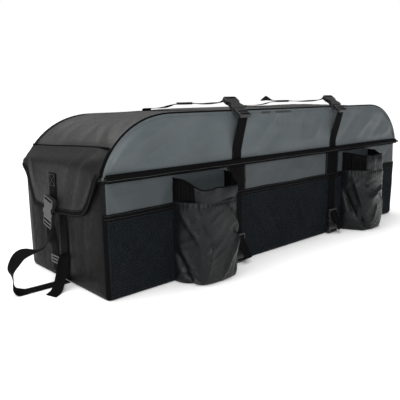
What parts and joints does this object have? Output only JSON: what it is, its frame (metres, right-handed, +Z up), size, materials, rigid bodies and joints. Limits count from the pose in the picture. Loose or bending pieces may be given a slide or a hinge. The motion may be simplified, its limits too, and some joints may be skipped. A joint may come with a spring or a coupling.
{
  "type": "soft-sided cargo bag for a hitch carrier",
  "caption": "Long padded fabric cargo bag with an arched zip-open lid, end flaps, mesh and bottle pockets, and webbing straps with side-release buckles for tying it to a hitch rack",
  "frame": {"origin": "on the ground, at the middle of the flat base of the bag, without its pouches and straps", "axes": "+Z up; +X along the bag, from the end with the loose strap loop to the other end; -Y is the front, with the pouches"},
  "size_m": [1.6108, 0.5347, 0.5018],
  "materials": {
    "shell_fabric": "coated polyester weave, satin, warm charcoal",
    "panel_fabric": "coated polyester, satin, slate grey",
    "base_fabric": "coated heavy polyester, matte black",
    "stiffener_board": "plain twin-wall board",
    "mesh": "knitted polyester mesh, navy black",
    "binding_tape": "ribbed binding tape, black",
    "pouch_fabric": "light coated nylon, semi-gloss, creased",
    "collar_fabric": "light nylon, gathered on elastic, navy black",
    "zip_tape": "woven tape, black",
    "zip_coil": "nylon coil, black",
    "zip_metal": "black enamelled zinc",
    "webbing": "woven polypropylene webbing, black",
    "buckle_plastic": "moulded acetal, dark grey"
  },
  "bodies": {
    "tub": {"bottle_pouch_left": "pouch_fabric", "bottle_pouch_right": "pouch_fabric", "end_ladder_locks": "buckle_plastic", "end_straps": "webbing", "floor_board": "stiffener_board", "floor_panel": "base_fabric", "hinge_bead": "binding_tape", "left_strap_slack": "webbing", "mesh_binding": "binding_tape", "mesh_pocket_centre": "mesh", "mesh_pocket_left": "mesh", "mesh_pocket_right": "mesh", "pouch_collar_left": "collar_fabric", "pouch_collar_right": "collar_fabric", "rack_anchors": "webbing", "rack_buckle_left_socket": "buckle_plastic", "rack_buckle_right_socket": "buckle_plastic", "rack_straps": "webbing", "strap_patches": "webbing", "tub_back_panel": "shell_fabric", "tub_front_panel": "panel_fabric", "tub_left_panel": "shell_fabric", "tub_right_panel": "shell_fabric", "tub_zip_coil": "zip_coil", "tub_zip_tape": "zip_tape"},
    "lid": {"lid_back_panel": "shell_fabric", "lid_front_panel": "panel_fabric", "lid_front_straps": "webbing", "lid_piping": "binding_tape", "lid_top_panel": "shell_fabric", "lid_zip_coil": "zip_coil", "lid_zip_tape": "zip_tape", "storm_band": "binding_tape", "strap_tail": "webbing", "top_buckle_left_socket": "buckle_plastic", "top_buckle_right_socket": "buckle_plastic", "top_straps": "webbing"},
    "left_flap": {"end_buckle_left_socket": "buckle_plastic", "left_flap": "shell_fabric", "left_flap_binding": "binding_tape", "left_flap_strap": "webbing"},
    "right_flap": {"end_buckle_right_socket": "buckle_plastic", "right_flap": "shell_fabric", "right_flap_binding": "binding_tape", "right_flap_strap": "webbing"},
    "front_zip_slider": {"front_zip_slider": "zip_metal"},
    "front_zip_pull": {"front_zip_pull": "zip_metal"},
    "end_zip_slider": {"end_zip_slider": "zip_metal"},
    "end_zip_pull": {"end_zip_pull": "zip_metal"},
    "strap_adjuster_left": {"strap_adjuster_left": "buckle_plastic"},
    "strap_adjuster_right": {"strap_adjuster_right": "buckle_plastic"},
    "top_plug_left": {"top_buckle_left_plug": "buckle_plastic"},
    "end_plug_left": {"end_buckle_left_plug": "buckle_plastic"},
    "rack_plug_left": {"rack_buckle_left_plug": "buckle_plastic", "rack_tail_left": "webbing"},
    "top_plug_right": {"top_buckle_right_plug": "buckle_plastic"},
    "end_plug_right": {"end_buckle_right_plug": "buckle_plastic"},
    "rack_plug_right": {"rack_buckle_right_plug": "buckle_plastic", "rack_tail_right": "webbing"}
  },
  "joints": [
    {"name": "lid_hinge", "type": "hinge", "parent": "tub", "child": "lid", "pos_m": [0, 0.2225, 0.309], "axis": [-1, 0, 0], "range_deg": [0, 105]},
    {"name": "left_flap_lift", "type": "hinge", "parent": "lid", "child": "left_flap", "pos_m": [-0.68359, 0, 0.3838], "axis": [0, 1, 0], "range_deg": [0, 130]},
    {"name": "right_flap_lift", "type": "hinge", "parent": "lid", "child": "right_flap", "pos_m": [0.68359, 0, 0.3838], "axis": [0, -1, 0], "range_deg": [0, 130]},
    {"name": "front_zip_travel", "type": "slide", "parent": "tub", "child": "front_zip_slider", "axis": [-1, 0, 0], "range_m": [0, 1.38]},
    {"name": "front_zip_pull_swing", "type": "hinge", "parent": "front_zip_slider", "child": "front_zip_pull", "pos_m": [0.69, -0.22, 0.309], "axis": [0, 1, 0], "range_deg": [0, 180]},
    {"name": "end_zip_travel", "type": "slide", "parent": "tub", "child": "end_zip_slider", "axis": [0, 1, 0], "range_m": [0, 0.36]},
    {"name": "end_zip_pull_swing", "type": "hinge", "parent": "end_zip_slider", "child": "end_zip_pull", "pos_m": [0.71, -0.19, 0.309], "axis": [-1, 0, 0], "range_deg": [0, 180]},
    {"name": "strap_adjuster_left_slide", "type": "slide", "parent": "lid", "child": "strap_adjuster_left", "axis": [0, 1, 0], "range_m": [-0.1, 0.035]},
    {"name": "strap_adjuster_right_slide", "type": "slide", "parent": "lid", "child": "strap_adjuster_right", "axis": [0, 1, 0], "range_m": [-0.1, 0.035]},
    {"name": "top_buckle_left_release", "type": "slide", "parent": "lid", "child": "top_plug_left", "axis": [0, -0.809, -0.5878], "range_m": [0, 0.038]},
    {"name": "top_buckle_right_release", "type": "slide", "parent": "lid", "child": "top_plug_right", "axis": [0, -0.809, -0.5878], "range_m": [0, 0.038]},
    {"name": "rack_buckle_left_release", "type": "slide", "parent": "tub", "child": "rack_plug_left", "axis": [0, 0, 1], "range_m": [0, 0.038]},
    {"name": "rack_buckle_right_release", "type": "slide", "parent": "tub", "child": "rack_plug_right", "axis": [0, 0, 1], "range_m": [0, 0.038]},
    {"name": "end_buckle_left_release", "type": "slide", "parent": "left_flap", "child": "end_plug_left", "axis": [0, 0.2588, -0.9659], "range_m": [0, 0.038]},
    {"name": "end_buckle_right_release", "type": "slide", "parent": "right_flap", "child": "end_plug_right", "axis": [0, 0.2588, -0.9659], "range_m": [0, 0.038]}
  ]
}
